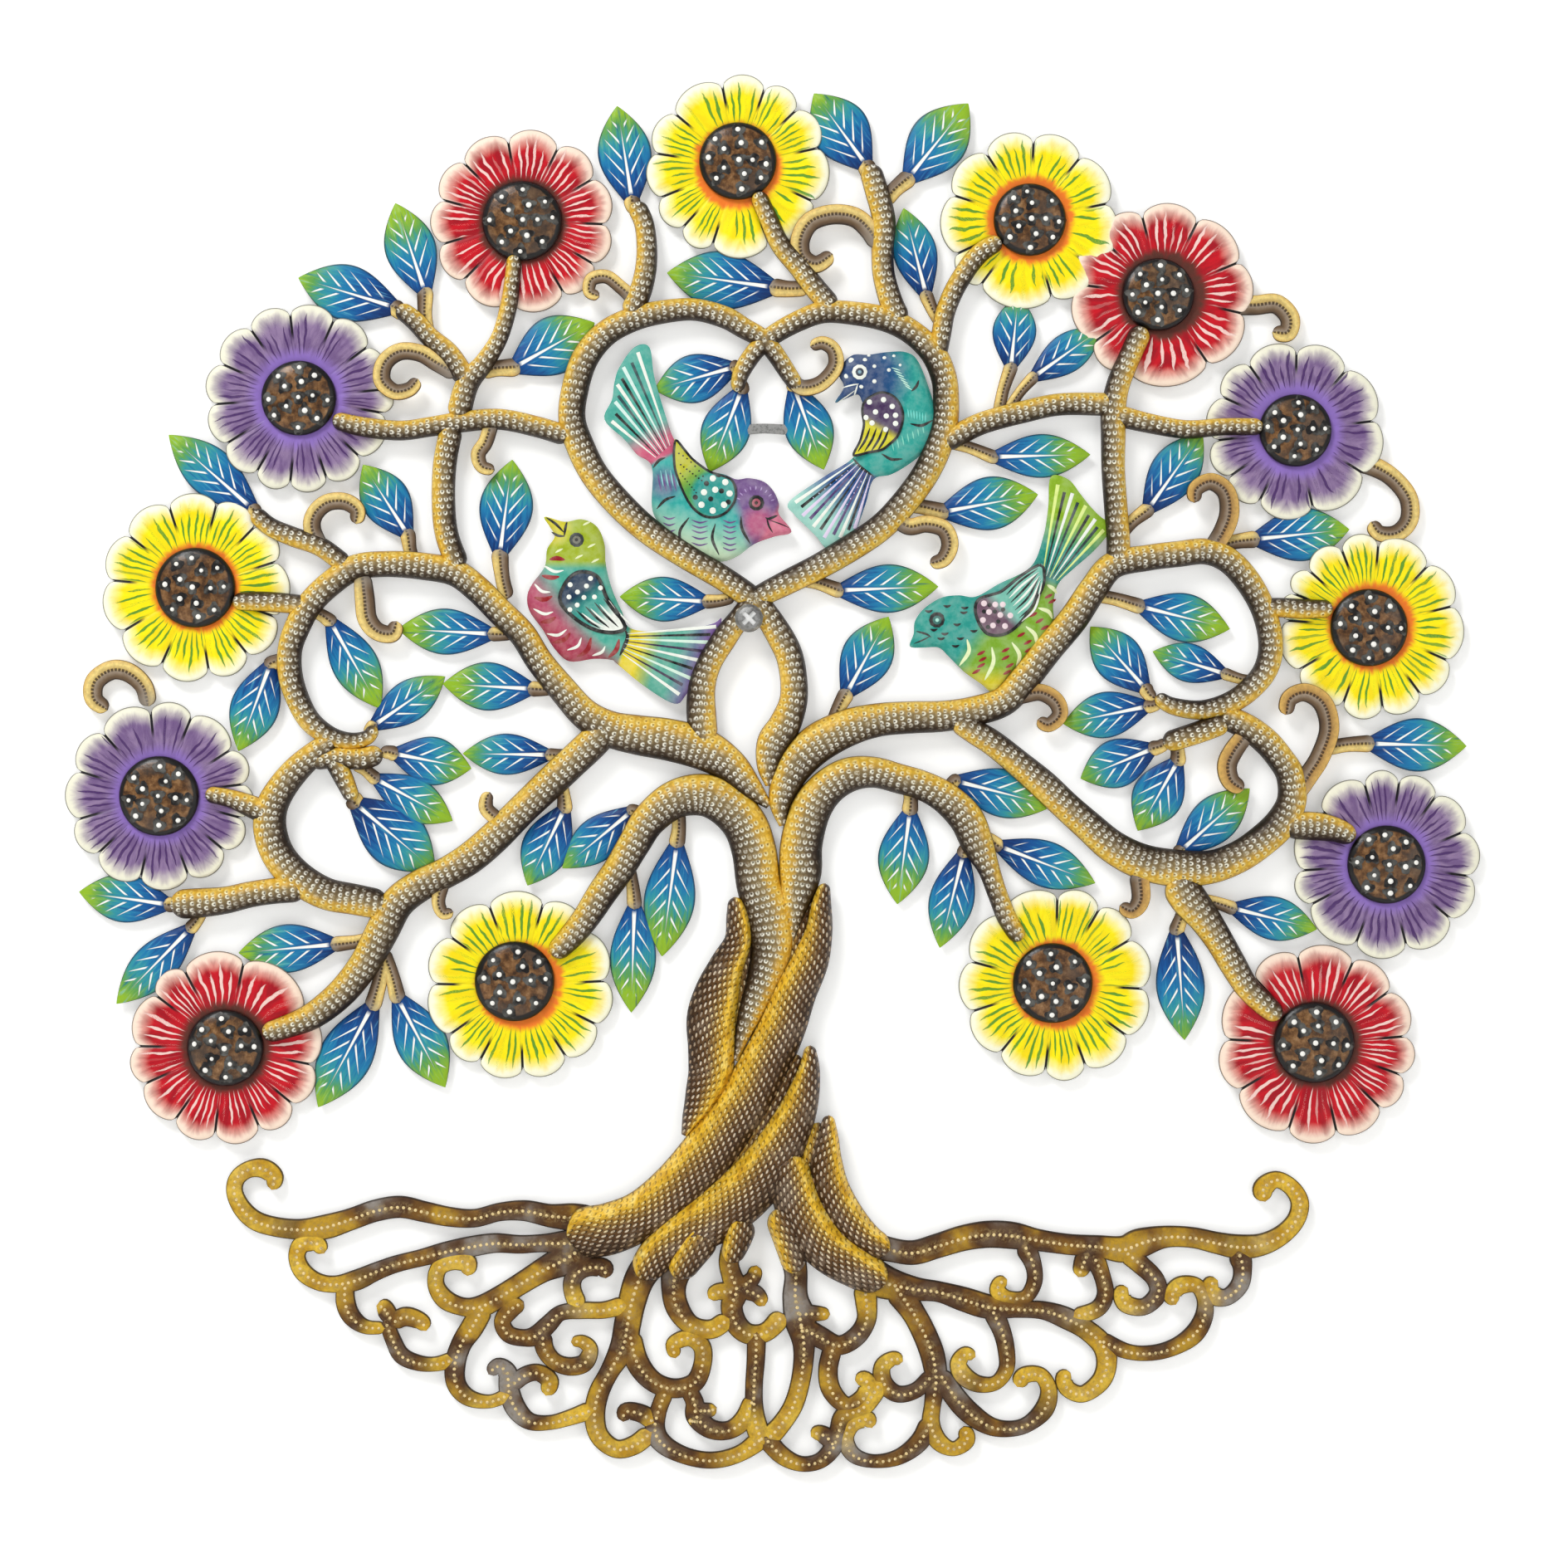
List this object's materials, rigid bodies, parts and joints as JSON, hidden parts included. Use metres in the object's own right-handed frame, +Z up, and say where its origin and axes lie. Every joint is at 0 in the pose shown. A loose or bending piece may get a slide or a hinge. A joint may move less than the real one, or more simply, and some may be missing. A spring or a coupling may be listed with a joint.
{
  "type": "tree of life wall hanging",
  "caption": "Painted, hammered sheet-steel tree of life with heart-shaped boughs, birds, flowers, leaves and curling roots, hung on one wall screw.",
  "frame": {"origin": "screw axis where it enters the wall", "axes": "+X to the viewer's right, +Z up, the tree's front faces -Y and the wall is the plane y = 0"},
  "size_m": [0.5672, 0.0364, 0.5611],
  "materials": {
    "screw_steel": "zinc plated, lightly brushed",
    "trunk_patina": "hammered, dark brown and silver patina with rubbed gold edges",
    "branch_gilt": "hammered scales, rubbed gold, silver grey and brown",
    "root_patina": "chased dots, brown and gold patina",
    "leaf_paint": "hand painted blue to yellow-green with white veins, satin",
    "yellow_petals": "hand painted yellow, satin",
    "red_petals": "hand painted crimson with cream tips, satin",
    "purple_petals": "hand painted violet grey, satin",
    "centre_paint": "brown dome with dots, gloss",
    "bird_turquoise": "hand painted turquoise and purple, satin",
    "bird_blue": "hand painted blue, satin",
    "bird_green": "hand painted green and teal, satin",
    "bird_yellow": "hand painted yellow-green and teal, satin",
    "wing_paint": "hand painted pattern, satin"
  },
  "bodies": {
    "screw": {"wall_screw": "screw_steel"},
    "tree": {"trunk_left": "trunk_patina", "trunk_right": "trunk_patina", "trunk_base": "trunk_patina", "trunk_flare": "trunk_patina", "droop_left": "branch_gilt", "droop_right": "branch_gilt", "limb_left": "branch_gilt", "limb_right": "branch_gilt", "limb_left_low": "branch_gilt", "loop_left": "branch_gilt", "loop_right": "branch_gilt", "heart_a": "branch_gilt", "heart_b": "branch_gilt", "crown_left": "branch_gilt", "crown_right": "branch_gilt", "roots_left": "root_patina", "roots_middle": "root_patina", "roots_right": "root_patina", "leaves_crown_left": "leaf_paint", "leaves_crown_right": "leaf_paint", "leaves_side_left": "leaf_paint", "leaves_side_right": "leaf_paint", "leaves_low": "leaf_paint", "bird_1": "bird_turquoise", "bird_2": "bird_blue", "bird_3": "bird_green", "bird_4": "bird_yellow", "wing_1": "wing_paint", "wing_2": "wing_paint", "wing_3": "wing_paint", "wing_4": "wing_paint", "petals_purple_1": "purple_petals", "petals_red_1": "red_petals", "petals_yellow_1": "yellow_petals", "petals_yellow_2": "yellow_petals", "petals_red_2": "red_petals", "petals_purple_2": "purple_petals", "petals_yellow_3": "yellow_petals", "petals_yellow_4": "yellow_petals", "petals_purple_3": "purple_petals", "petals_purple_4": "purple_petals", "petals_yellow_5": "yellow_petals", "petals_yellow_6": "yellow_petals", "petals_red_3": "red_petals", "petals_red_4": "red_petals", "centre_purple_1": "centre_paint", "centre_red_1": "centre_paint", "centre_yellow_1": "centre_paint", "centre_yellow_2": "centre_paint", "centre_red_2": "centre_paint", "centre_purple_2": "centre_paint", "centre_yellow_3": "centre_paint", "centre_yellow_4": "centre_paint", "centre_purple_3": "centre_paint", "centre_purple_4": "centre_paint", "centre_yellow_5": "centre_paint", "centre_yellow_6": "centre_paint", "centre_red_3": "centre_paint", "centre_red_4": "centre_paint"}
  },
  "joints": [
    {"name": "sway_on_screw", "type": "hinge", "parent": "screw", "child": "tree", "pos_m": [0, 0, 0], "axis": [0, 1, 0], "range_deg": [-30, 30]}
  ]
}
